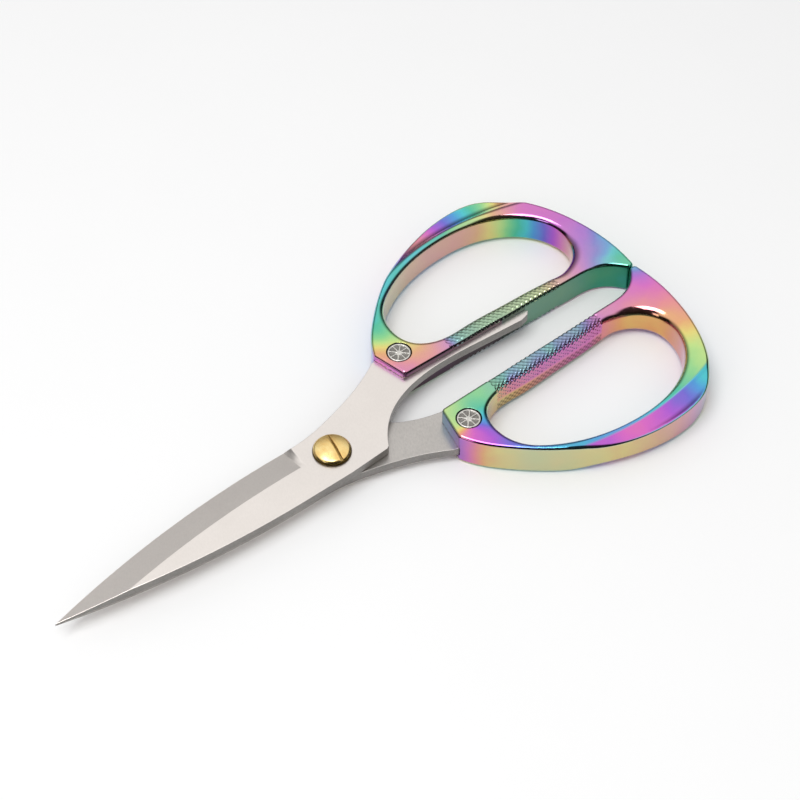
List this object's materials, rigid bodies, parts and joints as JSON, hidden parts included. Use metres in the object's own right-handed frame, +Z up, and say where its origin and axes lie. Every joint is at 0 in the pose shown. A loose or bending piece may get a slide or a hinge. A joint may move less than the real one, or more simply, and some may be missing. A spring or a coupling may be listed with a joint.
{
  "type": "scissors",
  "caption": "Household scissors with satin steel blades, cast finger bows in a rainbow finish with knurled grips, and a slotted brass pivot screw.",
  "frame": {"origin": "middle of the outline, on the surface that the handles lie on", "axes": "+X from the blade tips to the finger bows, +Y towards the upper half's bow, +Z up, square to the blades"},
  "size_m": [0.195, 0.0984, 0.01],
  "materials": {
    "blade_steel": "satin",
    "handle_casting": "polished",
    "rivet_steel": "satin",
    "pivot_brass": "satin"
  },
  "bodies": {
    "lower_half": {"lower_blade": "blade_steel", "lower_handle": "handle_casting", "lower_handle_rivet": "rivet_steel", "pivot_screw": "pivot_brass", "pivot_washer": "pivot_brass", "pivot_nut": "pivot_brass"},
    "upper_half": {"upper_blade": "blade_steel", "upper_handle": "handle_casting", "upper_handle_rivet": "rivet_steel"}
  },
  "joints": [
    {"name": "pivot", "type": "hinge", "parent": "lower_half", "child": "upper_half", "pos_m": [-0.0111, 0, 0.005], "axis": [0, 0, 1], "range_deg": [0, 128]}
  ]
}
